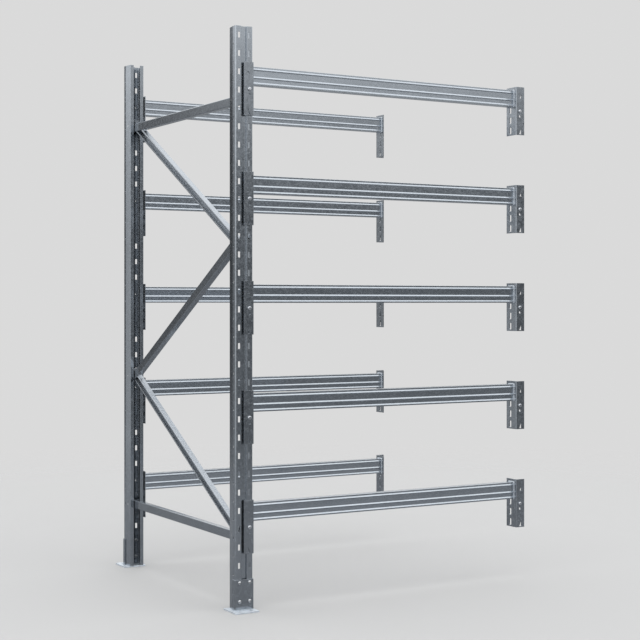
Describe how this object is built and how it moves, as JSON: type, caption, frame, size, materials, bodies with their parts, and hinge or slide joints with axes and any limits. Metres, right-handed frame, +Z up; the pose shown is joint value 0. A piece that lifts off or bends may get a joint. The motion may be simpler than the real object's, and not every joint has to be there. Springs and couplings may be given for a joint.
{
  "type": "pallet rack add-on bay",
  "caption": "Galvanised pallet rack add-on bay: one braced upright frame with hook-on box beams whose far ends are free for a neighbouring frame.",
  "frame": {"origin": "on the floor, under the outer left corner of the front upright's face", "axes": "+X along the beams away from the upright frame, +Y from the front upright to the rear one, +Z up"},
  "size_m": [1.502, 1.3, 2.4],
  "materials": {
    "galvanised_upright": "galvanised steel with a fine spangle",
    "galvanised_foot": "galvanised steel plate",
    "galvanised_plate": "thick galvanised steel plate, dull and mottled",
    "galvanised_brace": "galvanised steel channel",
    "galvanised_beam": "smooth galvanised strip",
    "galvanised_connector": "galvanised steel plate with a coarse spangle",
    "plated_pin": "zinc plated",
    "plated_fastener": "zinc plated"
  },
  "bodies": {
    "rack_frame": {"upright_front": "galvanised_upright", "upright_rear": "galvanised_upright", "foot_bracket_front": "galvanised_foot", "foot_bracket_rear": "galvanised_foot", "base_plate_front": "galvanised_plate", "base_plate_rear": "galvanised_plate", "brace_horizontal_top": "galvanised_brace", "brace_horizontal_bottom": "galvanised_brace", "brace_diagonal_upper": "galvanised_brace", "brace_diagonal_middle": "galvanised_brace", "brace_diagonal_lower": "galvanised_brace", "beam_front_1": "galvanised_beam", "beam_front_2": "galvanised_beam", "beam_front_3": "galvanised_beam", "beam_front_4": "galvanised_beam", "beam_front_5": "galvanised_beam", "beam_rear_1": "galvanised_beam", "beam_rear_2": "galvanised_beam", "beam_rear_3": "galvanised_beam", "beam_rear_4": "galvanised_beam", "beam_rear_5": "galvanised_beam", "connectors_front_1": "galvanised_connector", "connectors_front_2": "galvanised_connector", "connectors_front_3": "galvanised_connector", "connectors_front_4": "galvanised_connector", "connectors_front_5": "galvanised_connector", "connectors_rear_1": "galvanised_connector", "connectors_rear_2": "galvanised_connector", "connectors_rear_3": "galvanised_connector", "connectors_rear_4": "galvanised_connector", "connectors_rear_5": "galvanised_connector", "brace_rivets": "plated_fastener", "brace_sleeves": "plated_fastener", "foot_bolts": "plated_fastener", "foot_nuts": "plated_fastener"},
    "lock_pin_front_left_1": {"lock_pin_front_left_1": "plated_pin"},
    "lock_pin_front_left_2": {"lock_pin_front_left_2": "plated_pin"},
    "lock_pin_front_left_3": {"lock_pin_front_left_3": "plated_pin"},
    "lock_pin_front_left_4": {"lock_pin_front_left_4": "plated_pin"},
    "lock_pin_front_left_5": {"lock_pin_front_left_5": "plated_pin"},
    "lock_pin_front_right_1": {"lock_pin_front_right_1": "plated_pin"},
    "lock_pin_front_right_2": {"lock_pin_front_right_2": "plated_pin"},
    "lock_pin_front_right_3": {"lock_pin_front_right_3": "plated_pin"},
    "lock_pin_front_right_4": {"lock_pin_front_right_4": "plated_pin"},
    "lock_pin_front_right_5": {"lock_pin_front_right_5": "plated_pin"},
    "lock_pin_rear_left_1": {"lock_pin_rear_left_1": "plated_pin"},
    "lock_pin_rear_left_2": {"lock_pin_rear_left_2": "plated_pin"},
    "lock_pin_rear_left_3": {"lock_pin_rear_left_3": "plated_pin"},
    "lock_pin_rear_left_4": {"lock_pin_rear_left_4": "plated_pin"},
    "lock_pin_rear_left_5": {"lock_pin_rear_left_5": "plated_pin"},
    "lock_pin_rear_right_1": {"lock_pin_rear_right_1": "plated_pin"},
    "lock_pin_rear_right_2": {"lock_pin_rear_right_2": "plated_pin"},
    "lock_pin_rear_right_3": {"lock_pin_rear_right_3": "plated_pin"},
    "lock_pin_rear_right_4": {"lock_pin_rear_right_4": "plated_pin"},
    "lock_pin_rear_right_5": {"lock_pin_rear_right_5": "plated_pin"}
  },
  "joints": [
    {"name": "lock_pin_front_left_1_slide", "type": "slide", "parent": "rack_frame", "child": "lock_pin_front_left_1", "axis": [0, -1, 0], "range_m": [0, 0.012]},
    {"name": "lock_pin_front_left_2_slide", "type": "slide", "parent": "rack_frame", "child": "lock_pin_front_left_2", "axis": [0, -1, 0], "range_m": [0, 0.012]},
    {"name": "lock_pin_front_left_3_slide", "type": "slide", "parent": "rack_frame", "child": "lock_pin_front_left_3", "axis": [0, -1, 0], "range_m": [0, 0.012]},
    {"name": "lock_pin_front_left_4_slide", "type": "slide", "parent": "rack_frame", "child": "lock_pin_front_left_4", "axis": [0, -1, 0], "range_m": [0, 0.012]},
    {"name": "lock_pin_front_left_5_slide", "type": "slide", "parent": "rack_frame", "child": "lock_pin_front_left_5", "axis": [0, -1, 0], "range_m": [0, 0.012]},
    {"name": "lock_pin_front_right_1_slide", "type": "slide", "parent": "rack_frame", "child": "lock_pin_front_right_1", "axis": [0, -1, 0], "range_m": [0, 0.012]},
    {"name": "lock_pin_front_right_2_slide", "type": "slide", "parent": "rack_frame", "child": "lock_pin_front_right_2", "axis": [0, -1, 0], "range_m": [0, 0.012]},
    {"name": "lock_pin_front_right_3_slide", "type": "slide", "parent": "rack_frame", "child": "lock_pin_front_right_3", "axis": [0, -1, 0], "range_m": [0, 0.012]},
    {"name": "lock_pin_front_right_4_slide", "type": "slide", "parent": "rack_frame", "child": "lock_pin_front_right_4", "axis": [0, -1, 0], "range_m": [0, 0.012]},
    {"name": "lock_pin_front_right_5_slide", "type": "slide", "parent": "rack_frame", "child": "lock_pin_front_right_5", "axis": [0, -1, 0], "range_m": [0, 0.012]},
    {"name": "lock_pin_rear_left_1_slide", "type": "slide", "parent": "rack_frame", "child": "lock_pin_rear_left_1", "axis": [0, 1, 0], "range_m": [0, 0.012]},
    {"name": "lock_pin_rear_left_2_slide", "type": "slide", "parent": "rack_frame", "child": "lock_pin_rear_left_2", "axis": [0, 1, 0], "range_m": [0, 0.012]},
    {"name": "lock_pin_rear_left_3_slide", "type": "slide", "parent": "rack_frame", "child": "lock_pin_rear_left_3", "axis": [0, 1, 0], "range_m": [0, 0.012]},
    {"name": "lock_pin_rear_left_4_slide", "type": "slide", "parent": "rack_frame", "child": "lock_pin_rear_left_4", "axis": [0, 1, 0], "range_m": [0, 0.012]},
    {"name": "lock_pin_rear_left_5_slide", "type": "slide", "parent": "rack_frame", "child": "lock_pin_rear_left_5", "axis": [0, 1, 0], "range_m": [0, 0.012]},
    {"name": "lock_pin_rear_right_1_slide", "type": "slide", "parent": "rack_frame", "child": "lock_pin_rear_right_1", "axis": [0, 1, 0], "range_m": [0, 0.012]},
    {"name": "lock_pin_rear_right_2_slide", "type": "slide", "parent": "rack_frame", "child": "lock_pin_rear_right_2", "axis": [0, 1, 0], "range_m": [0, 0.012]},
    {"name": "lock_pin_rear_right_3_slide", "type": "slide", "parent": "rack_frame", "child": "lock_pin_rear_right_3", "axis": [0, 1, 0], "range_m": [0, 0.012]},
    {"name": "lock_pin_rear_right_4_slide", "type": "slide", "parent": "rack_frame", "child": "lock_pin_rear_right_4", "axis": [0, 1, 0], "range_m": [0, 0.012]},
    {"name": "lock_pin_rear_right_5_slide", "type": "slide", "parent": "rack_frame", "child": "lock_pin_rear_right_5", "axis": [0, 1, 0], "range_m": [0, 0.012]}
  ]
}
